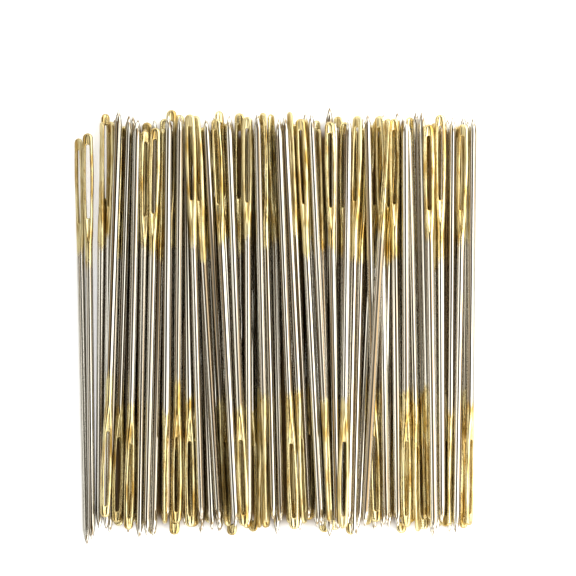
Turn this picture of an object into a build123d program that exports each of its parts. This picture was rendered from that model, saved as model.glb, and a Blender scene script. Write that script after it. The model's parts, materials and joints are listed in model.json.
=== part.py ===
from build123d import *
from math import cos, pi, sin, sqrt
import os
import numpy as np

# A loose bunch of about a hundred yarn needles lying side by side on a table,
# some with the eye at the far end and some with the eye at the near end.
# X runs across the bunch, Y along the needles and Z up from the table, in millimetres.

# Wire and overall length of one needle
needle_length = 60.0
shaft_diameter = 1.14
point_length = 2.6
point_radius = 0.12

# Flattened head round the eye, measured from the eye end
head_length = 17.5
head_width = 1.72
head_widest_at = 5.6
head_thickness = 0.72
head_end_width = 1.5
head_root_width = 1.46
head_root_thickness = 0.96

# Long eye and the grooves that lead the yarn into it on both faces
eye_length = 10.9
eye_end_wall = 1.7
rail_width = 0.54
dimple_depth = 0.13
gutter_length = 3.2
gutter_depth = 0.2

# The bunch as it lies
bunch_width = 58.8
end_scatter = 4.85
contact_gap = 0.04
lower_count = 38
needles_in_group = 4
station_step = 0.5
nestle_step = 0.12
nestle_steps = 3

# Form shares: how far along the eye its ends and the grooves narrow
eye_end_share = 0.75
dimple_narrow_share = 0.75
gutter_narrow_share = 0.2
section_count = 7
disc_count = 5

# The end of the head is cut to a full round a little wider than the head there
nose_share = 1.03

# Each needle as it lies, seen from above: where its far end and its near end stand across the
# bunch, how far its far end is drawn back, whether its eye is at the far end, and how far it is
# rolled from lying flat towards lying on edge. These lie on top, with their eyes open to view.
top_shares = (
    (0.112, 0.078, 0.15, False, 0.10),
    (0.145, 0.114, 0.33, False, 0.00),
    (0.214, 0.192, 0.70, True, 0.00),
    (0.266, 0.256, 0.33, False, 0.00),
    (0.279, 0.291, 0.45, False, 0.10),
    (0.296, 0.325, 0.30, True, 0.10),
    (0.354, 0.405, 0.42, True, 0.30),
    (0.399, 0.438, 0.40, False, 0.00),
    (0.446, 0.449, 0.36, True, 0.00),
    (0.524, 0.564, 0.52, False, 0.00),
    (0.568, 0.619, 0.42, True, 0.15),
    (0.642, 0.662, 0.52, True, 0.00),
    (0.700, 0.685, 0.45, False, 0.00),
    (0.747, 0.769, 0.30, False, 0.00),
    (0.801, 0.811, 0.42, True, 0.00),
    (0.831, 0.834, 0.45, False, 0.15),
    (0.895, 0.909, 0.60, True, 0.00),
    (0.927, 0.931, 0.30, True, 0.00),
    (0.982, 0.965, 0.60, True, 0.20),
)

# The other upper needles, most of them rolled so that their eyes show on edge
upper_shares = (
    (0.015, 0.036, 1.00, True, 0.40),
    (0.045, 0.056, 0.85, True, 0.05),
    (0.170, 0.149, 0.52, False, 0.25),
    (0.191, 0.175, 0.79, True, -0.35),
    (0.234, 0.210, 0.73, True, 0.85),
    (0.241, 0.232, 0.33, False, 0.80),
    (0.305, 0.365, 0.33, True, 0.20),
    (0.330, 0.385, 0.45, False, 0.55),
    (0.375, 0.420, 0.18, True, -0.45),
    (0.471, 0.493, 0.30, False, 0.95),
    (0.485, 0.511, 0.24, True, 0.55),
    (0.499, 0.524, 0.27, True, -0.65),
    (0.539, 0.589, 0.36, False, 0.65),
    (0.602, 0.648, 0.27, False, 0.75),
    (0.722, 0.698, 0.33, True, 0.25),
    (0.739, 0.712, 0.70, True, 0.50),
    (0.777, 0.795, 0.33, True, 0.20),
    (0.849, 0.874, 0.60, False, 0.65),
    (0.871, 0.892, 0.21, False, 0.65),
    (0.955, 0.947, 0.40, False, 0.75),
    (0.999, 0.989, 0.40, False, 0.50),
)

# The one that crosses its neighbours over everything else
crossing_shares = ((0.786, 0.727, 0.42, True, 0.80),)

# The needles half seen between and under the upper ones
middle_shares = (
    (0.082, 0.074, 0.52, True, 0.80),
    (0.124, 0.098, 0.64, True, 0.65),
    (0.159, 0.134, 0.45, False, 0.70),
    (0.181, 0.165, 0.73, True, 0.90),
    (0.256, 0.245, 0.15, True, 0.00),
    (0.274, 0.261, 0.70, False, 0.00),
    (0.310, 0.351, 0.55, True, 0.90),
    (0.340, 0.374, 0.64, True, 0.85),
    (0.391, 0.429, 0.33, False, 0.30),
    (0.426, 0.428, 0.24, True, 0.20),
    (0.476, 0.464, 0.48, False, 0.85),
    (0.516, 0.549, 0.40, False, 0.60),
    (0.552, 0.600, 0.21, True, 0.75),
    (0.589, 0.635, 0.42, True, 0.55),
    (0.625, 0.652, 0.73, True, 0.85),
    (0.640, 0.625, 0.09, False, 0.50),
    (0.666, 0.665, 0.55, False, 0.20),
    (0.681, 0.671, 0.52, True, 0.00),
    (0.710, 0.706, 0.70, False, 0.10),
    (0.770, 0.719, 0.45, True, 0.00),
    (0.820, 0.824, 0.24, False, 0.00),
    (0.838, 0.856, 0.33, False, 0.25),
    (0.861, 0.884, 0.21, False, 0.90),
    (0.911, 0.921, 0.55, True, 0.90),
    (0.944, 0.939, 0.45, False, 0.00),
    (0.967, 0.957, 0.64, True, 0.35),
    (0.203, 0.187, 0.45, False, 0.30),
    (0.453, 0.445, 0.50, False, 0.40),
    (0.986, 0.976, 0.50, False, 0.30),
    (0.092, 0.080, 0.50, True, 0.60),
    (0.292, 0.285, 0.40, True, 0.50),
    (0.800, 0.776, 0.50, True, 0.40),
)

# The hidden bottom row: where it starts and stops across the bunch, how far its needles lean,
# and how much each is drawn back and rolled more than the last
lower_start_share = 0.075
lower_stop_share = 0.985
lower_lean_share = 0.006
lower_least_drop_share = 0.25
lower_most_drop_share = 0.75
lower_drop_step_share = 0.382
lower_roll_step_share = 0.41

shaft_radius = shaft_diameter / 2
head_root_at = eye_end_wall + eye_length
eye_half_width = head_width / 2 - rail_width


def blended(low, high, share):
    """A size that eases from low to high as share goes from 0 to 1."""
    return low + (high - low) * share * share * (3 - 2 * share)


def head_size(along):
    """Width and thickness of the head, before its end is rounded, at a distance from that end."""
    if along < head_widest_at:
        return blended(head_end_width, head_width, along / head_widest_at), head_thickness
    if along < head_root_at:
        share = (along - head_widest_at) / (head_root_at - head_widest_at)
        width = blended(head_width, head_root_width, share)
        return width, blended(head_thickness, head_root_thickness, share)
    if along < head_length:
        share = (along - head_root_at) / (head_length - head_root_at)
        width = blended(head_root_width, shaft_diameter, share)
        return width, blended(head_root_thickness, shaft_diameter, share)
    return shaft_diameter, shaft_diameter


def across_plane(along):
    """The plane square to a needle that points along +Y, at a distance from its eye end."""
    return Plane(origin=(0, along, 0), x_dir=(1, 0, 0), z_dir=(0, 1, 0))


def rounded_outline(plane, across):
    """A wide outline whose end is a full round, for the head where it is so far across."""
    radius = across / 2 * nose_share
    outer = head_width * nose_share
    with BuildSketch(plane) as outline:
        with BuildLine():
            ThreePointArc((-radius, radius), (0, 0), (radius, radius))
            Polyline((radius, radius), (outer, radius), (outer, head_length), (-outer, head_length))
            Polyline((-outer, head_length), (-outer, radius), (-radius, radius))
        make_face()
    return outline.sketch


# Head: a flattened oval drawn in to the round wire
with BuildPart() as eye_end:
    for number in range(section_count):
        along = head_length * number / (section_count - 1)
        width, thickness = head_size(along)
        with BuildSketch(across_plane(along)):
            if number < section_count - 1:
                Ellipse(width / 2, thickness / 2)
            else:
                Circle(shaft_radius)
    loft()
    from_above = rounded_outline(Plane.XY, head_end_width)
    extrude(from_above, amount=head_width, both=True, mode=Mode.INTERSECT)
    side_plane = Plane(origin=(0, 0, 0), x_dir=(0, 0, 1), z_dir=(-1, 0, 0))
    from_the_side = rounded_outline(side_plane, head_thickness)
    extrude(from_the_side, amount=head_width, both=True, mode=Mode.INTERSECT)

    # Eye: bowed sides, a round top towards the end and a square foot towards the shaft
    eye_narrow = eye_half_width * eye_end_share
    eye_shoulder_at = eye_end_wall + eye_narrow * eye_end_share
    eye_middle_at = eye_end_wall + eye_length / 2
    with BuildSketch(Plane.XY):
        with BuildLine():
            right_foot = (eye_narrow, head_root_at)
            left_foot = (-eye_narrow, head_root_at)
            right_shoulder = (eye_narrow, eye_shoulder_at)
            left_shoulder = (-eye_narrow, eye_shoulder_at)
            ThreePointArc(right_shoulder, (eye_half_width, eye_middle_at), right_foot)
            Line(right_foot, left_foot)
            ThreePointArc(left_foot, (-eye_half_width, eye_middle_at), left_shoulder)
            ThreePointArc(left_shoulder, (0, eye_end_wall), right_shoulder)
        make_face()
    extrude(amount=shaft_diameter, both=True, mode=Mode.SUBTRACT)

    # Grooves on both faces: a short one up the end wall and a longer one down towards the shaft
    for side in (-1, 1):
        gutter_rise = head_root_thickness / 2 + eye_narrow - gutter_depth
        gutter_middle = (0, head_root_at + gutter_length / 2, side * gutter_rise)
        with Locations(Location(gutter_middle, (-90, 0, 0))):
            Cone(eye_narrow, eye_narrow * gutter_narrow_share, gutter_length, mode=Mode.SUBTRACT)
        dimple_rise = head_thickness / 2 + eye_narrow - dimple_depth
        with Locations(Location((0, eye_end_wall, side * dimple_rise), (-90, 0, 0))):
            dimple_narrow = eye_narrow * dimple_narrow_share
            Cone(dimple_narrow, eye_narrow, 2 * eye_end_wall, mode=Mode.SUBTRACT)

# Shaft: round wire with a blunt rounded point
with BuildPart() as shaft:
    tip_centre = needle_length - point_radius
    with BuildSketch(Plane.XY):
        with BuildLine():
            shaft_foot = Line((0, head_length), (shaft_radius, head_length))
            shaft_side = Line(shaft_foot @ 1, (shaft_radius, needle_length - point_length))
            taper = TangentArc(shaft_side @ 1, (point_radius, tip_centre), tangent=(0, 1))
            tip_bend = (point_radius * sin(pi / 4), tip_centre + point_radius * cos(pi / 4))
            tip = ThreePointArc(taper @ 1, tip_bend, (0, needle_length))
            Line(tip @ 1, shaft_foot @ 0)
        make_face()
    revolve(axis=Axis.Y)


class LyingNeedle:
    """One needle of the bunch. Its place seen from above is given, and find_rest finds its height."""

    def __init__(self, far_share, near_share, drop_share, eye_far, roll_share):
        self.lean = (near_share - far_share) * bunch_width
        self.reach = sqrt(needle_length**2 - self.lean**2)
        self.far_x = (far_share - 0.5) * bunch_width
        self.far_y = needle_length / 2 + (0.5 - drop_share) * end_scatter
        self.eye_far = eye_far
        self.roll = roll_share * pi / 2
        self.rest_height = 0
        self.discs = np.array([self.cut(station) for station in stations])

    def cut(self, station):
        """Discs that cover the needle where a station cuts it: side place, rise and radius."""
        down = (self.far_y - station) / self.reach
        if down <= 0 or down >= 1:
            return [(0, 0, -needle_length)] * disc_count
        middle_x = self.far_x + self.lean * down
        along = needle_length * (down if self.eye_far else 1 - down)
        width, thickness = head_size(along)
        turn = self.roll if self.eye_far else -self.roll
        discs = []
        for number in range(disc_count):
            out = (width - thickness) * (number / (disc_count - 1) - 0.5)
            discs.append((middle_x + out * cos(turn), out * sin(turn), thickness / 2))
        return discs

    def lowest_line(self, shift):
        """Heights of both ends when the needle, moved sideways, rests on the table and the heap."""
        x, rise, radius = (self.discs[:, :, number, None] for number in range(3))
        heap_x, heap_z, heap_radius = (heap[:, None, :, number] for number in range(3))
        side = np.abs(x + shift - heap_x)
        apart = radius + heap_radius + contact_gap
        on_heap = heap_z - rise + np.sqrt(np.maximum(apart**2 - side**2, 0))
        on_heap = np.where(side < apart, on_heap, 0).max(axis=(1, 2))
        on_table = (radius - rise).max(axis=(1, 2))
        inside = radius[:, 0, 0] > 0
        supports = list(zip(stations[inside], np.maximum(on_heap, on_table)[inside]))
        crest = []
        for y, height in supports:
            while len(crest) > 1:
                (y_a, z_a), (y_b, z_b) = crest[-2:]
                if (z_b - z_a) * (y - y_a) > (height - z_a) * (y_b - y_a):
                    break
                crest.pop()
            crest.append((y, height))
        balance = self.far_y - self.reach / 2
        y_b, z_b = next(point for point in crest if point[0] >= balance)
        y_a, z_a = next(point for point in reversed(crest) if point[0] < balance)
        tilt = (z_b - z_a) / (y_b - y_a)
        return z_a + tilt * (self.far_y - y_a), z_a + tilt * (self.far_y - self.reach - y_a)

    def find_rest(self):
        """The lowest place within a small roll to either side."""
        steps = sorted(range(-nestle_steps, nestle_steps + 1), key=abs)
        places = [(*self.lowest_line(step * nestle_step), step * nestle_step) for step in steps]
        self.far_z, self.near_z, self.shift = min(places, key=lambda place: place[0] + place[1])
        self.rest_height = (self.far_z + self.near_z) / 2

    def lay(self):
        """Fix the needle in the heap where it rests."""
        global heap
        self.far_x += self.shift
        down = (self.far_y - stations) / self.reach
        self.discs[:, :, 0] += self.shift
        self.discs[:, :, 1] += (self.far_z + (self.near_z - self.far_z) * down)[:, None]
        heap = np.concatenate([heap, self.discs], axis=1)

    def plane(self):
        """The needle's own plane, at its eye end, with Y towards its point."""
        far_end = Vector(self.far_x, self.far_y, self.far_z)
        near_end = Vector(self.far_x + self.lean, self.far_y - self.reach, self.near_z)
        start, end = (far_end, near_end) if self.eye_far else (near_end, far_end)
        ahead = (end - start).normalized()
        flat_side = ahead.cross(Vector(0, 0, 1)).normalized()
        flat_up = flat_side.cross(ahead)
        up = flat_up * cos(self.roll) + flat_side * sin(self.roll)
        return Plane(origin=start, x_dir=ahead.cross(up), z_dir=up)


def pile_up(needles):
    """Lay the needles of one layer, always the one that can come to rest lowest."""
    waiting = list(needles)
    while waiting:
        waiting.sort(key=lambda lying: lying.rest_height)
        lowest = waiting[0]
        lowest.find_rest()
        if lowest.rest_height <= min(lying.rest_height for lying in waiting):
            lowest.lay()
            waiting.remove(lowest)


# The hidden bottom row, then the half-seen needles, then the upper ones, each on those before.
# A disc of negative radius stands where there is no needle and touches nothing.
half_span = (needle_length + end_scatter) / 2
stations = np.arange(-half_span, half_span, station_step)
heap = np.full((len(stations), 1, 3), -needle_length)
lower_needles = []
lower_span_share = lower_stop_share - lower_start_share
for number in range(lower_count):
    across_share = lower_start_share + lower_span_share * (number + 0.5) / lower_count
    lean_share = lower_lean_share * sin(number)
    drop_span_share = lower_most_drop_share - lower_least_drop_share
    drop_share = lower_least_drop_share + drop_span_share * (number * lower_drop_step_share % 1)
    roll_share = number * lower_roll_step_share % 1 - 0.5
    eye_far = number % 2 == 0
    far_share = across_share - lean_share
    near_share = across_share + lean_share
    lower_needles.append(LyingNeedle(far_share, near_share, drop_share, eye_far, roll_share))
middle_needles = [LyingNeedle(*row) for row in middle_shares]
upper_needles = [LyingNeedle(*row) for row in upper_shares]
top_needles = [LyingNeedle(*row) for row in top_shares]
crossing_needles = [LyingNeedle(*row) for row in crossing_shares]
for layer in (lower_needles, middle_needles, upper_needles, top_needles, crossing_needles):
    pile_up(layer)
single_needles = upper_needles + top_needles + crossing_needles


def grouped(name, needles):
    """Named groups of neighbouring needles."""
    starts = range(0, len(needles), needles_in_group)
    return {
        f"{name}_{number:02d}": needles[start : start + needles_in_group]
        for number, start in enumerate(starts, 1)
    }


nodes = grouped("lower_needles", lower_needles)
nodes.update(grouped("middle_needles", middle_needles))
left_to_right = sorted(single_needles, key=lambda lying: lying.far_x)
for number, lying in enumerate(left_to_right, 1):
    nodes[f"needle_{number:02d}"] = [lying]

# Centre the bunch over the origin, resting on the table
placed = {}
for name, needles in nodes.items():
    places = [lying.plane().location for lying in needles]
    placed[name] = [place * piece for place in places for piece in (eye_end.part, shaft.part)]
extent = Compound([piece for pieces in placed.values() for piece in pieces]).bounding_box()
to_centre = Pos(-extent.center().X, -extent.center().Y, -extent.min.Z)

os.makedirs("parts", exist_ok=True)
for name, pieces in placed.items():
    node = Compound([to_centre * piece for piece in pieces])
    node.label = name
    export_step(node, f"parts/{name}.step")
needle_count = sum(len(needles) for needles in nodes.values())
print(f"{len(nodes)} nodes, {needle_count} needles")
print(f"extent {extent.size.X:.2f} x {extent.size.Y:.2f} x {extent.size.Z:.2f} mm")
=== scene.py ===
import json
import math
import bpy
import numpy as np
from mathutils import Matrix, Vector

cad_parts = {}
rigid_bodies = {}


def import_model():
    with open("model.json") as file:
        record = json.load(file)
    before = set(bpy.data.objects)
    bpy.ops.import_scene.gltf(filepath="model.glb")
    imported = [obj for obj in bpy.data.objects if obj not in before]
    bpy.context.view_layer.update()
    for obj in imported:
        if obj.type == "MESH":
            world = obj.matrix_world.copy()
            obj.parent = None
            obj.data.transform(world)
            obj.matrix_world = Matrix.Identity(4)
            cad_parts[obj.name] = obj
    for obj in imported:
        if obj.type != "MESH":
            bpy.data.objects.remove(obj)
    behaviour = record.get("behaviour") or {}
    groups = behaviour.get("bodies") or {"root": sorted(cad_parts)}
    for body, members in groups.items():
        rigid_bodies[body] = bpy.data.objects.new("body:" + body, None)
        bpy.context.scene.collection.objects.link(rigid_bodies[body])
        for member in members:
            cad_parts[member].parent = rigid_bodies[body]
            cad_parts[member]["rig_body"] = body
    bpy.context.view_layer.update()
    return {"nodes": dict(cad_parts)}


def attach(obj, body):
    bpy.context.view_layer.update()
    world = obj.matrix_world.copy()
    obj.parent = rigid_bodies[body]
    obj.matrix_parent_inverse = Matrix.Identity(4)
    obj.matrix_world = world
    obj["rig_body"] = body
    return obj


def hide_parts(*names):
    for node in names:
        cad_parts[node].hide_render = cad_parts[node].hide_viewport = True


# A loose bunch of gilt-eyed yarn needles on a white table, seen from straight above.
# Lengths of a needle are in millimetres in its own frame: X across the flat of the head,
# Y from the eye end to the point and Z out of the flat. The scene itself is in metres.

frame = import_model()
MM = 0.001

# One needle, as the CAD gives it
NEEDLE_LENGTH = 60.0
SHAFT_RADIUS = 0.57
POINT_LENGTH = 2.6
TIP_RADIUS = 0.12
HEAD_LENGTH = 17.5
HEAD_WIDEST_AT = 5.6
HEAD_END_WIDTH = 1.5
HEAD_WIDTH = 1.72
HEAD_ROOT_WIDTH = 1.46
HEAD_THICKNESS = 0.72
HEAD_ROOT_THICKNESS = 0.96
EYE_TOP = 1.7
EYE_FOOT = 12.6
EYE_HALF_WIDTH = 0.32
EYE_END_HALF_WIDTH = 0.24

# Finer forms, which the CAD has more plainly or not at all: the rounded rim and foot of the
# eye, the gutter that leads down from it, the dimple above it and the lumps on the head
RIM_RADIUS = 0.2
FOOT_ROUNDING = 0.22
GUTTER_LENGTH = 3.4
GUTTER_DEPTH = 0.3
GUTTER_WIDTH = 1.25
GUTTER_CURVE = 0.7
DIMPLE_DEPTH = 0.16
DIMPLE_WIDTH = 1.2
DIMPLE_NARROWING = 0.5
LUMP_HEIGHT = 0.018
LUMP_SIZES = (0.55, 0.9, 1.6)
LUMP_MIDDLE = 3
LUMP_GAIN = 4
LUMP_SHARE = 0.3

# Mesh columns in a quarter of each ring, and a width that is as good as none
COLUMNS = 8
LEAST_WIDTH = 1e-9

# How closely mesh corners are taken to be the same, on the same ring or at the same end
CORNER_DIGITS = 4
RING_SLACK = 0.02
END_SLACK = 0.05

# A solid is a head if it is shorter than the first length, a shaft if it is between the two,
# and a head with its shaft if it is longer, which is so where the two share their corners
SHORTEST_SHAFT = 30.0
LONGEST_SHAFT = 50.0

# Steps in which the roll of a head is tried and the edge of its eye is followed, and
# a distance from that edge at which it has no say
ROLL_STEPS = 720
OUTLINE_STEPS = 240
FAR_FROM_EYE = 10.0

# How much a wrong length counts beside a wrong place when a head is matched to its shaft
LENGTH_WEIGHT = 0.1

# Painted light and shade, scaled into each needle's colour: brighter towards the right side of
# the bunch, and a little darker for the two at the far left and for those with the eye at the
# near end
PAINTED_LIGHT_PLACES = (-28.0, -25.0, 0.0, 20.0)
PAINTED_LIGHT_SHARES = (0.78, 0.92, 1.0, 1.2)
NEAR_EYE_PAINTED_SHADE = 0.9


def eased(low, high, share):
    """A size that eases from low to high as share goes from 0 to 1."""
    share = np.clip(share, 0, 1)
    return low + (high - low) * share * share * (3 - 2 * share)


def half_size(y):
    """Half the width and half the thickness of the needle at a distance from its eye end."""
    eye = (y - HEAD_WIDEST_AT) / (EYE_FOOT - HEAD_WIDEST_AT)
    root = (y - EYE_FOOT) / (HEAD_LENGTH - EYE_FOOT)
    width = eased(HEAD_END_WIDTH, HEAD_WIDTH, y / HEAD_WIDEST_AT)
    width += eased(0, HEAD_ROOT_WIDTH - HEAD_WIDTH, eye)
    width += eased(0, 2 * SHAFT_RADIUS - HEAD_ROOT_WIDTH, root)
    thickness = HEAD_THICKNESS + eased(0, HEAD_ROOT_THICKNESS - HEAD_THICKNESS, eye)
    thickness += eased(0, 2 * SHAFT_RADIUS - HEAD_ROOT_THICKNESS, root)
    half_width, half_thickness = width / 2, thickness / 2
    nose = HEAD_END_WIDTH / 2
    half_width = half_width * rounded(y / nose)
    half_thickness = half_thickness * rounded(y / (HEAD_THICKNESS / 2))
    taper = np.clip((y - NEEDLE_LENGTH + POINT_LENGTH) / (POINT_LENGTH - TIP_RADIUS), 0, 1)
    cone = 1 - (1 - TIP_RADIUS / SHAFT_RADIUS) * taper**2
    tip = rounded((NEEDLE_LENGTH - y) / TIP_RADIUS)
    return half_width * cone * tip, half_thickness * cone * tip


def rounded(share):
    """A quarter circle: 0 at share 0, rising steeply at first, and 1 from share 1 on."""
    return np.sqrt(1 - (1 - np.clip(share, 0, 1)) ** 2)


def eye_half_width(y):
    """Half the width of the eye: bowed sides, a round top and a nearly square foot."""
    middle = (EYE_TOP + EYE_FOOT) / 2
    bow = 1 - ((y - middle) / (EYE_FOOT - middle)) ** 2
    side = EYE_END_HALF_WIDTH + (EYE_HALF_WIDTH - EYE_END_HALF_WIDTH) * bow
    top = rounded((y - EYE_TOP) / EYE_END_HALF_WIDTH)
    foot = rounded((EYE_FOOT - y) / FOOT_ROUNDING)
    return side * top * foot


def rows_of_needle():
    """Where the mesh has its rings, close together where the form bends, and their kinds."""
    bend = np.array([0.03, 0.1, 0.2, 0.34, 0.5, 0.68, 0.85, 1.0])
    nose = bend * HEAD_END_WIDTH / 2
    wall = np.linspace(HEAD_END_WIDTH / 2, EYE_TOP - RIM_RADIUS, 4)[1:]
    rim = RIM_RADIUS * np.array([0.75, 0.5, 0.3, 0.14, 0.05])
    shoulder = EYE_END_HALF_WIDTH * np.array([0.04, 0.14, 0.3, 0.5, 0.75, 1.0, 1.5])
    foot = FOOT_ROUNDING * np.array([0.05, 0.17, 0.36, 0.6, 1.0, 1.8])
    sides = np.linspace(EYE_TOP + 0.9, EYE_FOOT - 0.7, 12)
    gutter = EYE_FOOT + np.array([0.3, 0.5, 0.8, 1.2, 1.6, 2.1, 2.6, 3.1, 3.6, 4.2])
    wire = np.linspace(HEAD_LENGTH, NEEDLE_LENGTH - POINT_LENGTH, 12)
    taper = NEEDLE_LENGTH - POINT_LENGTH * np.array([0.85, 0.7, 0.55, 0.4, 0.25, 0.14])
    tip = NEEDLE_LENGTH - TIP_RADIUS * np.array([1.0, 0.7, 0.4, 0.18, 0.05])
    parts = (
        ("pole", [0.0]),
        ("solid", nose),
        ("solid", wall),
        ("solid", EYE_TOP - rim),
        ("eye_end", [EYE_TOP]),
        ("eye", EYE_TOP + shoulder),
        ("eye", sides),
        ("eye", EYE_FOOT - foot[::-1]),
        ("eye_end", [EYE_FOOT]),
        ("solid", EYE_FOOT + rim[::-1]),
        ("solid", gutter),
        ("solid", wire),
        ("solid", taper),
        ("solid", tip),
        ("pole", [NEEDLE_LENGTH]),
    )
    return [(kind, float(y)) for kind, places in parts for y in places]


ROWS = rows_of_needle()


def corner(row, side, face, column):
    """A name for a mesh point in one quarter of a ring, the same where two quarters meet.

    side is -1 or 1 across the needle, face is -1 or 1 for its underside and upper side, and
    columns run from the outline, 0, to the middle of the needle or the edge of its eye.
    """
    kind = ROWS[row][0]
    if kind == "pole":
        return (row, 0, 0, 0)
    if column == 0:
        return (row, side, 0, 0)
    if column == COLUMNS:
        if kind == "solid":
            return (row, 0, face, COLUMNS)
        if kind == "eye":
            return (row, side, 0, COLUMNS)
        return (row, 0, 0, COLUMNS)
    return (row, side, face, column)


def needle_topology():
    """The points' places on the rings and the faces that join them, shared by every needle."""
    numbers, points, faces = {}, [], []
    for row in range(len(ROWS)):
        for side in (-1, 1):
            for face in (-1, 1):
                for column in range(COLUMNS + 1):
                    name = corner(row, side, face, column)
                    if name not in numbers:
                        numbers[name] = len(points)
                        points.append((row, side, face, column))
    for row in range(len(ROWS) - 1):
        for side in (-1, 1):
            for face in (-1, 1):
                for column in range(COLUMNS):
                    round_it = [
                        corner(row, side, face, column),
                        corner(row, side, face, column + 1),
                        corner(row + 1, side, face, column + 1),
                        corner(row + 1, side, face, column),
                    ]
                    if side * face > 0:
                        round_it.reverse()
                    ring = []
                    for name in round_it:
                        if numbers[name] not in ring:
                            ring.append(numbers[name])
                    if len(ring) > 2:
                        faces.append(ring)
    return np.array(points), faces


POINTS, FACES = needle_topology()


def eye_outline():
    """Points close together along the edge of the eye, to measure distances from it."""
    steps = (1 - np.cos(np.linspace(0, math.pi, OUTLINE_STEPS))) / 2
    y = EYE_TOP + (EYE_FOOT - EYE_TOP) * steps
    half = eye_half_width(y)
    return np.concatenate([np.stack([half, y], 1), np.stack([-half, y], 1)])


def needle_points(chance):
    """Every point of one needle in its own frame, with the small faults of a real one."""
    kinds = np.array([kind for kind, y in ROWS])[POINTS[:, 0]]
    y = np.array([y for kind, y in ROWS])[POINTS[:, 0]]
    side, face, column = POINTS[:, 1], POINTS[:, 2], POINTS[:, 3]
    half_width, half_thickness = half_size(y)
    inner = np.where(kinds == "eye", eye_half_width(y), 0)
    across = (1 - np.cos(math.pi * column / COLUMNS)) / 2
    x = half_width + (inner - half_width) * across
    round_share = x / np.maximum(half_width, LEAST_WIDTH)
    rise = half_thickness * np.sqrt(np.clip(1 - round_share**2, 0, 1))

    # Rounded edges of the eye
    outline = eye_outline()
    near_eye = (y > EYE_TOP - 1) & (y < EYE_FOOT + 1)
    distance = np.full(len(y), FAR_FROM_EYE)
    away = np.hypot(x[near_eye, None] - outline[:, 0], y[near_eye, None] - outline[:, 1])
    distance[near_eye] = away.min(axis=1)
    at_edge = (column == COLUMNS) & (kinds != "solid") & (kinds != "pole")
    distance[at_edge] = 0
    rise = rise * rounded(distance / RIM_RADIUS)

    # Gutter down from the foot of the eye, and dimple from its top up to the end
    down = np.clip((y - EYE_FOOT) / GUTTER_LENGTH, 0, 1)
    gutter_half = EYE_END_HALF_WIDTH * (GUTTER_WIDTH - down)
    round_floor = np.clip(1 - (x / gutter_half) ** 2, 0, 1)
    groove = GUTTER_DEPTH * (1 - down) ** GUTTER_CURVE * round_floor
    rise = rise - np.where(y >= EYE_FOOT, groove, 0) * rounded(distance / RIM_RADIUS)
    up = np.clip((EYE_TOP - y) / EYE_TOP, 0, 1)
    dimple_half = EYE_END_HALF_WIDTH * (DIMPLE_WIDTH - DIMPLE_NARROWING * up)
    dent = DIMPLE_DEPTH * (1 - up**2) * np.clip(1 - (x / dimple_half) ** 2, 0, 1)
    rise = rise - np.where(y <= EYE_TOP, dent, 0) * rounded(distance / RIM_RADIUS)
    x = x * side
    z = np.maximum(rise, 0) * face
    z[at_edge] = 0

    # Lumps left by stamping and gilding, on the head alone
    lumps = np.zeros(len(y))
    for size in LUMP_SIZES:
        turn = chance.uniform(0, 2 * math.pi, 3)
        lumps += np.sin(y / size * 2 + turn[0] + 2 * np.sin(x / size + turn[1])) * size
        lumps += np.sin(x / size * 2 + face + turn[2]) * size / 2
    on_head = LUMP_SHARE * (1 - eased(0, 1, (y - EYE_FOOT) / GUTTER_LENGTH))
    z = z * (1 - LUMP_HEIGHT * on_head * (lumps + LUMP_MIDDLE) * LUMP_GAIN)
    return np.stack([x, y, z], 1)


def solids_of(mesh):
    """Splits a mesh into parts that share no corner, as arrays of corners in millimetres."""
    places = np.empty(len(mesh.vertices) * 3)
    mesh.vertices.foreach_get("co", places)
    places = places.reshape(-1, 3) / MM
    rounded_places = places.round(CORNER_DIGITS)
    _, first, same = np.unique(rounded_places, axis=0, return_index=True, return_inverse=True)
    same = same.reshape(-1)
    places = places[first]
    ends = np.empty(len(mesh.edges) * 2, np.int64)
    mesh.edges.foreach_get("vertices", ends)
    ends = same[ends.reshape(-1, 2)]
    group = np.arange(len(places))
    while True:
        least = np.minimum(group[ends[:, 0]], group[ends[:, 1]])
        before = group.copy()
        np.minimum.at(group, ends[:, 0], least)
        np.minimum.at(group, ends[:, 1], least)
        group = group[group]
        if (group == before).all():
            break
    return [places[group == number] for number in np.unique(group)]


def long_axis(places):
    """The direction in which a set of points is longest."""
    middle = places.mean(axis=0)
    return np.linalg.svd(places - middle, full_matrices=False)[2][0]


def end_thickness(places, axis, end):
    """How wide a solid is right at one of its two ends."""
    near = np.abs((places - end) @ axis) < RING_SLACK
    return np.ptp(places[near], axis=0).max() if near.sum() > 1 else 0


def needles_of(mesh):
    """Where each needle of a node lies: its eye end, the way it points and its flat's normal."""
    heads, shafts = [], []
    for places in solids_of(mesh):
        span = np.ptp(places @ long_axis(places))
        if span > SHORTEST_SHAFT:
            shafts.append(places)
        if span <= SHORTEST_SHAFT or span > LONGEST_SHAFT:
            heads.append(places)
    found = []
    for places in shafts:
        axis = long_axis(places)
        along = places @ axis
        low, high = places[along.argmin()], places[along.argmax()]
        tip_is_low = end_thickness(places, axis, low) < end_thickness(places, axis, high)
        tip = low if tip_is_low else high

        # The ring where the shaft starts, and its middle
        if np.ptp(along) > LONGEST_SHAFT:
            away = np.linalg.norm(places - tip, axis=1)
            reach = np.sqrt(np.maximum(away**2 - SHAFT_RADIUS**2, 0))
            ring = np.abs(reach - (NEEDLE_LENGTH - HEAD_LENGTH)) < RING_SLACK
        else:
            start = along[np.argmax(np.abs(along - tip @ axis))]
            ring = np.abs(along - start) < END_SLACK
        foot = places[ring].mean(axis=0)
        ahead = (tip - foot) / np.linalg.norm(tip - foot)
        eye_end = tip - ahead * NEEDLE_LENGTH
        head = min(heads, key=lambda head: distance_to_line(head, eye_end, ahead))
        near = ((head - eye_end) @ ahead) < EYE_FOOT
        found.append((eye_end, ahead, flat_normal(head[near] - eye_end, ahead)))
    return found


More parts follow.
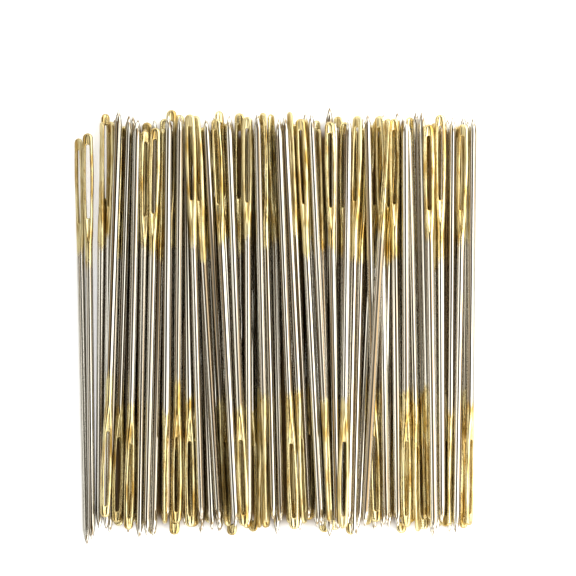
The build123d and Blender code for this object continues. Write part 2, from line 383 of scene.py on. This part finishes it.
def distance_to_line(places, start, ahead):
    """How far a head's points lie from where a needle's head must be, least for its own."""
    off = places - start
    along = off @ ahead
    side = np.linalg.norm(off - along[:, None] * ahead, axis=1)
    return side.max() + abs(along.min()) + abs(along.max() - HEAD_LENGTH) * LENGTH_WEIGHT


def flat_normal(off, ahead):
    """The direction square to a needle in which its head is thinnest."""
    level = np.cross(ahead, (0, 0, 1.0))
    level /= np.linalg.norm(level)
    upright = np.cross(level, ahead)
    turns = np.linspace(0, math.pi, ROLL_STEPS, endpoint=False)
    ways = np.cos(turns)[:, None] * upright + np.sin(turns)[:, None] * level
    thin = np.ptp(off @ ways.T, axis=0)
    best = ways[thin.argmin()]
    return best if best @ upright > 0 else -best


def fine_needles(node, chance):
    """One mesh for a node with a detailed needle at each place where the CAD has a plain one."""
    all_places, all_faces, all_local, all_seeds, all_painted_light = [], [], [], [], []
    for eye_end, ahead, normal in needles_of(node.data):
        local = needle_points(chance)
        side = np.cross(ahead, normal)
        turned = local @ np.array([side, ahead, normal])
        start = sum(len(places) for places in all_places)
        all_faces += [[start + number for number in face] for face in FACES]
        all_places.append(turned + eye_end)
        all_local.append(local)
        all_seeds.append(np.tile(chance.uniform(0, 1, 3), (len(local), 1)))
        # Painted light and shade: a colour factor set by where the needle lies in the bunch
        painted_light = np.interp(eye_end[0], PAINTED_LIGHT_PLACES, PAINTED_LIGHT_SHARES)
        if eye_end[1] < 0:
            painted_light *= NEAR_EYE_PAINTED_SHADE
        all_painted_light.append(np.full(len(local), painted_light))
    mesh = bpy.data.meshes.new("fine_" + node.name)
    places = np.concatenate(all_places) * MM
    mesh.from_pydata(places.tolist(), [], all_faces)
    mesh.update()
    for name, values in (("needle_place", all_local), ("needle_chance", all_seeds)):
        attribute = mesh.attributes.new(name, "FLOAT_VECTOR", "POINT")
        attribute.data.foreach_set("vector", np.concatenate(values).astype(np.float32).ravel())
    # The painted light and shade factor, kept on the mesh for the material
    attribute = mesh.attributes.new("needle_painted_light", "FLOAT", "POINT")
    attribute.data.foreach_set("value", np.concatenate(all_painted_light).astype(np.float32))
    mesh.polygons.foreach_set("use_smooth", [True] * len(mesh.polygons))
    piece = bpy.data.objects.new("fine_" + node.name, mesh)
    bpy.context.scene.collection.objects.link(piece)
    return piece


class Nodes:
    """Short calls that add shader nodes and join them."""

    def __init__(self, tree):
        self.tree = tree
        tree.nodes.clear()

    def add(self, kind, **settings):
        node = self.tree.nodes.new(kind)
        for name, value in settings.items():
            setattr(node, name, value)
        return node

    def plug(self, value, socket):
        if isinstance(value, bpy.types.NodeSocket):
            self.tree.links.new(value, socket)
        else:
            socket.default_value = value

    def maths(self, operation, first, second=0.0, third=0.0):
        node = self.add("ShaderNodeMath", operation=operation)
        for value, socket in zip((first, second, third), node.inputs):
            self.plug(value, socket)
        return node.outputs[0]

    def vector(self, operation, first, second):
        node = self.add("ShaderNodeVectorMath", operation=operation)
        self.plug(first, node.inputs[0])
        self.plug(second, node.inputs[1])
        return node.outputs[0]

    def noise(self, place, stretch, detail):
        """Cloudy noise whose grain is finer where stretch, along each axis, is larger."""
        node = self.add("ShaderNodeTexNoise")
        self.plug(self.vector("MULTIPLY", place, stretch), node.inputs["Vector"])
        self.plug(1.0, node.inputs["Scale"])
        self.plug(detail, node.inputs["Detail"])
        return node.outputs["Fac"]

    def parts(self, vector):
        """The X, Y and Z of a vector."""
        node = self.add("ShaderNodeSeparateXYZ")
        self.plug(vector, node.inputs[0])
        return node.outputs

    def between(self, value, low, high, out_low=0.0, out_high=1.0):
        node = self.add("ShaderNodeMapRange", interpolation_type="SMOOTHSTEP")
        self.plug(value, node.inputs["Value"])
        self.plug(low, node.inputs["From Min"])
        self.plug(high, node.inputs["From Max"])
        self.plug(out_low, node.inputs["To Min"])
        self.plug(out_high, node.inputs["To Max"])
        return node.outputs["Result"]

    def mix(self, share, first, second):
        node = self.add("ShaderNodeMix", data_type="RGBA")
        self.plug(share, node.inputs[0])
        self.plug(first, node.inputs[6])
        self.plug(second, node.inputs[7])
        return node.outputs[2]


# Metals, in linear colour
NICKEL_LIGHT = (0.77, 0.755, 0.70, 1.0)
NICKEL_DARK = (0.24, 0.175, 0.10, 1.0)
GOLD_LIGHT = (0.82, 0.72, 0.41, 1.0)
GOLD_DARK = (0.47, 0.30, 0.075, 1.0)
TARNISH = (0.10, 0.07, 0.03, 1.0)

# Noise patterns. Each needle's chances, times this shift, move it to a place of its own in
# the noise. A grain is how many waves there are in a millimetre across, along and through
# a needle, and a band is the stretch of the noise over which a pattern comes in.
PATTERN_SHIFT = (37.0, 91.0, 53.0)
EDGE_GRAIN = (0.8, 0.22, 0.8)
DRAWN_GRAIN = (5.5, 0.012, 5.5)
CLOUD_GRAIN = (0.9, 0.25, 0.9)
SPECK_GRAIN = (5.0, 3.0, 5.0)
LUMP_GRAIN = (1.5, 0.8, 1.5)
DRAWN_BAND = (0.38, 0.57)
CLOUD_BAND = (0.28, 0.62)
SPOT_BAND = (0.70, 0.80)
SPOT_DEPTH = 0.5
BURR_BAND = (0.58, 0.68)
BURR_CHANCE_BAND = (0.45, 0.6)
RIDGE_BAND = (0.42, 0.55)
RIDGE_CHANCE_BAND = (0.80, 0.82)

# Gilding: how far its edge lies from the eye end, with the most that chance and raggedness
# add, and how far it thins out to either side of that edge
GILT_START = 14.0
GILT_CHANCE = 5.0
GILT_RAGGED = 5.0
GILT_FADE = (-1.0, 0.8)

# Roughness of the bare nickel, and what gilding and a dull needle add. The higher the power
# is, the fewer needles are dull.
NICKEL_ROUGH = 0.05
GILT_ROUGH = 0.08
GILT_CLOUDY_ROUGH = 0.16
DULL_ROUGH = 0.2
DULL_POWER = 3.0

# Relief: shares of the bump's height, and how far the ridges' wave turns in a millimetre
NICKEL_LUMPS = 0.02
DRAWN_RELIEF = 0.04
BURR_RELIEF = 0.55
RIDGE_RELIEF = 0.4
RIDGES_TURN = 18.0
BUMP_STRENGTH = 0.25
BUMP_HEIGHT = 0.1 * MM


def needle_metal():
    """Nickel-plated wire, drawn lengthwise, whose eye end is gilt up to an uneven edge."""
    material = bpy.data.materials.new("gilt_and_nickel")
    material.use_nodes = True
    nodes = Nodes(material.node_tree)
    place = nodes.add("ShaderNodeAttribute", attribute_name="needle_place").outputs["Vector"]
    chance = nodes.add("ShaderNodeAttribute", attribute_name="needle_chance").outputs["Vector"]
    along = nodes.parts(place)[1]
    chances = nodes.parts(chance)
    own = nodes.vector("ADD", place, nodes.vector("MULTIPLY", chance, PATTERN_SHIFT))

    # Gilding, which thins out unevenly about 15 to 23 mm from the eye end
    ragged = nodes.noise(own, EDGE_GRAIN, detail=3.0)
    edge = nodes.maths("MULTIPLY_ADD", chances[0], GILT_CHANCE, GILT_START)
    edge = nodes.maths("MULTIPLY_ADD", ragged, GILT_RAGGED, edge)
    beyond = nodes.maths("SUBTRACT", along, edge)
    gilt = nodes.between(beyond, *GILT_FADE, 1.0, 0.0)

    # Drawing marks along the wire, cloudier patches and small specks
    drawn = nodes.noise(own, DRAWN_GRAIN, detail=1.0)
    cloudy = nodes.noise(own, CLOUD_GRAIN, detail=3.0)
    specks = nodes.noise(own, SPECK_GRAIN, detail=2.0)

    nickel = nodes.mix(nodes.between(drawn, *DRAWN_BAND), NICKEL_DARK, NICKEL_LIGHT)
    gold = nodes.mix(nodes.between(cloudy, *CLOUD_BAND), GOLD_DARK, GOLD_LIGHT)
    colour = nodes.mix(gilt, nickel, gold)
    spots = nodes.maths("MULTIPLY", nodes.between(specks, *SPOT_BAND, 0.0, SPOT_DEPTH), gilt)
    colour = nodes.mix(spots, colour, TARNISH)
    # Painted light and shade: the colour is scaled by each needle's painted brightness
    painted_light = nodes.add("ShaderNodeAttribute", attribute_name="needle_painted_light").outputs["Fac"]
    painted_light_colour = nodes.add("ShaderNodeVectorMath", operation="SCALE")
    nodes.plug(colour, painted_light_colour.inputs[0])
    nodes.plug(painted_light, painted_light_colour.inputs["Scale"])

    gilt_rough = nodes.maths("MULTIPLY_ADD", cloudy, GILT_CLOUDY_ROUGH, GILT_ROUGH)
    rough = nodes.maths("MULTIPLY_ADD", gilt_rough, gilt, NICKEL_ROUGH)
    dull = nodes.maths("POWER", chances[1], DULL_POWER)
    rough = nodes.maths("MULTIPLY_ADD", dull, DULL_ROUGH, rough)

    # Lumps under the gilding, far weaker on the bare wire, and the relief of the drawing marks
    lumps = nodes.noise(own, LUMP_GRAIN, detail=2.0)
    weight = nodes.maths("MULTIPLY_ADD", gilt, 1 - NICKEL_LUMPS, NICKEL_LUMPS)
    lumps = nodes.maths("MULTIPLY", lumps, weight)
    relief = nodes.maths("MULTIPLY_ADD", drawn, DRAWN_RELIEF, lumps)

    # Some heads carry small burrs, and a few have fine cross ridges left by the stamp
    burred = nodes.maths("MULTIPLY", nodes.between(chances[2], *BURR_CHANCE_BAND), gilt)
    burrs = nodes.maths("MULTIPLY", nodes.between(specks, *BURR_BAND), burred)
    relief = nodes.maths("MULTIPLY_ADD", burrs, BURR_RELIEF, relief)
    ridged = nodes.maths("MULTIPLY", nodes.between(chances[0], *RIDGE_CHANCE_BAND), gilt)
    ridged = nodes.maths("MULTIPLY", ridged, nodes.between(cloudy, *RIDGE_BAND))
    ridges = nodes.maths("SINE", nodes.maths("MULTIPLY", along, RIDGES_TURN))
    ridges = nodes.maths("MULTIPLY", ridges, ridged)
    relief = nodes.maths("MULTIPLY_ADD", ridges, RIDGE_RELIEF, relief)
    bump = nodes.add("ShaderNodeBump")
    bump.inputs["Strength"].default_value = BUMP_STRENGTH
    bump.inputs["Distance"].default_value = BUMP_HEIGHT
    nodes.plug(relief, bump.inputs["Height"])

    shader = nodes.add("ShaderNodeBsdfPrincipled")
    shader.inputs["Metallic"].default_value = 1.0
    nodes.plug(painted_light_colour.outputs[0], shader.inputs["Base Color"])
    nodes.plug(rough, shader.inputs["Roughness"])
    nodes.plug(bump.outputs[0], shader.inputs["Normal"])
    output = nodes.add("ShaderNodeOutputMaterial")
    nodes.plug(shader.outputs[0], output.inputs[0])
    return material


SEED = 7
metal = needle_metal()
chance = np.random.default_rng(SEED)
for name in sorted(frame["nodes"]):
    node = frame["nodes"][name]
    piece = fine_needles(node, chance)
    piece.data.materials.append(metal)
    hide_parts(name)
    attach(piece, node["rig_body"])

# White table, which shows as white paper with the bunch's soft shadow on it
TABLE_WIDTH = 3.0
TABLE_DEPTH = 0.02 * MM
TABLE_WHITE = (0.82, 0.83, 0.84, 1.0)
TABLE_GLOW = 0.5
MIRRORED_GLOW = 0.4

# Under the heap, which starts right of the two needles that lie apart from it, the table
# isn't raised to white and is painted brown as shade, the painted shade that shows between the
# needles
HEAP_MIDDLE = 2.3 * MM
HEAP_HALF_WIDTH = 27.5 * MM
HEAP_SIDE_FADE = 2 * MM
HEAP_HALF_LENGTH = 27.5 * MM
HEAP_END_FADE = 3 * MM
PAINTED_SHADE_BROWN = (0.34, 0.21, 0.09, 1.0)


def white_table():
    """Matt white paper, kept white by a glow, with painted brown shade under the heap."""
    material = bpy.data.materials.new("white_table")
    material.use_nodes = True
    paper = Nodes(material.node_tree)
    spot = paper.parts(paper.add("ShaderNodeNewGeometry").outputs["Position"])
    from_middle = paper.maths("ABSOLUTE", paper.maths("SUBTRACT", spot[0], HEAP_MIDDLE))
    clear_x = paper.between(from_middle, HEAP_HALF_WIDTH - HEAP_SIDE_FADE, HEAP_HALF_WIDTH)
    from_middle = paper.maths("ABSOLUTE", spot[1])
    clear_y = paper.between(from_middle, HEAP_HALF_LENGTH, HEAP_HALF_LENGTH + HEAP_END_FADE)
    clear = paper.maths("MAXIMUM", clear_x, clear_y)
    diffuse = paper.add("ShaderNodeBsdfDiffuse")
    # Painted shade: the paper's colour turns brown under the heap
    paper.plug(paper.mix(clear, PAINTED_SHADE_BROWN, TABLE_WHITE), diffuse.inputs["Color"])

    # The glow that makes it white, to the camera and more weakly in what the metal mirrors
    path = paper.add("ShaderNodeLightPath").outputs
    mirrored = paper.maths("MAXIMUM", path["Is Glossy Ray"], path["Is Transmission Ray"])
    mirrored = paper.maths("MULTIPLY", mirrored, MIRRORED_GLOW)
    seen = paper.maths("MAXIMUM", path["Is Camera Ray"], mirrored)
    glow = paper.add("ShaderNodeEmission")
    glow.inputs["Color"].default_value = (1.0, 1.0, 1.0, 1.0)
    strength = paper.maths("MULTIPLY", seen, paper.maths("MULTIPLY", clear, TABLE_GLOW))
    paper.plug(strength, glow.inputs["Strength"])
    both = paper.add("ShaderNodeAddShader")
    paper.plug(diffuse.outputs[0], both.inputs[0])
    paper.plug(glow.outputs[0], both.inputs[1])
    output = paper.add("ShaderNodeOutputMaterial")
    paper.plug(both.outputs[0], output.inputs[0])
    return material


half = TABLE_WIDTH / 2
table_corners = [(-half, -half, 0), (half, -half, 0), (half, half, 0), (-half, half, 0)]
table_mesh = bpy.data.meshes.new("table")
table_mesh.from_pydata(table_corners, [], [(0, 1, 2, 3)])
table_mesh.materials.append(white_table())
table = bpy.data.objects.new("table", table_mesh)
bpy.context.scene.collection.objects.link(table)
table.location.z = -TABLE_DEPTH

# World: dim, and darkest straight overhead, so that the lamps draw the streaks on the wire.
# It darkens between these two heights, where 1 is straight up.
ROOM_COLOUR = (0.215, 0.198, 0.168, 1.0)
OVERHEAD_COLOUR = (0.13, 0.112, 0.086, 1.0)
OVERHEAD_FROM = 0.90
OVERHEAD_TO = 0.99
world = bpy.data.worlds.new("studio")
bpy.context.scene.world = world
world.use_nodes = True
sky = Nodes(world.node_tree)
height = sky.parts(sky.add("ShaderNodeTexCoord").outputs["Generated"])[2]
overhead = sky.between(height, OVERHEAD_FROM, OVERHEAD_TO)
background = sky.add("ShaderNodeBackground")
sky.plug(sky.mix(overhead, ROOM_COLOUR, OVERHEAD_COLOUR), background.inputs["Color"])
background.inputs["Strength"].default_value = 1.0
sky_out = sky.add("ShaderNodeOutputWorld")
sky.plug(background.outputs[0], sky_out.inputs[0])

# Soft lamps: angle from straight overhead, heading, size and brightness
WARM_WHITE = (1.0, 0.98, 0.92)
LAMPS = {
    "right_softbox": (45, 0, (1.1, 2.2), 3.0),
    "left_softbox": (50, 180, (0.42, 2.2), 1.6),
    "far_softbox": (55, 90, (0.9, 1.4), 1.2),
    "near_softbox": (55, 270, (0.9, 1.4), 1.1),
}


def soft_lamp(name, from_zenith, heading, size, brightness):
    """A rectangular soft lamp a metre from the bunch, which it faces.

    Its heading is 0 to the right and 90 beyond the far ends. Its second size is its length,
    which lies level. brightness is what its face shows, where 1 is white.
    """
    tilt, turn = math.radians(from_zenith), math.radians(heading)
    reach = math.sin(tilt)
    outward = Vector((reach * math.cos(turn), reach * math.sin(turn), math.cos(tilt)))
    level = Vector((-math.sin(turn), math.cos(turn), 0))
    data = bpy.data.lights.new(name, "AREA")
    data.shape = "RECTANGLE"
    data.size, data.size_y = size
    data.energy = brightness * math.pi * size[0] * size[1]
    data.color = WARM_WHITE
    lamp = bpy.data.objects.new(name, data)
    bpy.context.scene.collection.objects.link(lamp)
    facing = Matrix((level.cross(outward), level, outward)).transposed().to_4x4()
    lamp.matrix_world = Matrix.Translation(outward) @ facing


for name, settings in LAMPS.items():
    soft_lamp(name, *settings)

# Camera straight above the middle of the photograph's frame. The scene's origin shows at
# ORIGIN_PIXEL, and the scale holds at the height of the upper needles.
PHOTO_SIZE = 576
MM_PER_PIXEL = 0.147
ORIGIN_PIXEL = (275.0, 326.5)
CAMERA_HEIGHT = 0.6
FOCUS_HEIGHT = 0.004
SENSOR_WIDTH = 36.0
NEAREST = 0.01
FARTHEST = 10.0
camera_data = bpy.data.cameras.new("camera")
camera_data.sensor_width = SENSOR_WIDTH
view_width = PHOTO_SIZE * MM_PER_PIXEL * MM
camera_data.lens = SENSOR_WIDTH * (CAMERA_HEIGHT - FOCUS_HEIGHT) / view_width
camera_data.clip_start = NEAREST
camera_data.clip_end = FARTHEST
camera = bpy.data.objects.new("camera", camera_data)
bpy.context.scene.collection.objects.link(camera)
centre_x = (PHOTO_SIZE / 2 - ORIGIN_PIXEL[0]) * MM_PER_PIXEL * MM
centre_y = (ORIGIN_PIXEL[1] - PHOTO_SIZE / 2) * MM_PER_PIXEL * MM
camera.location = (centre_x, centre_y, CAMERA_HEIGHT)
bpy.context.scene.camera = camera

bpy.context.scene.view_settings.view_transform = "Standard"
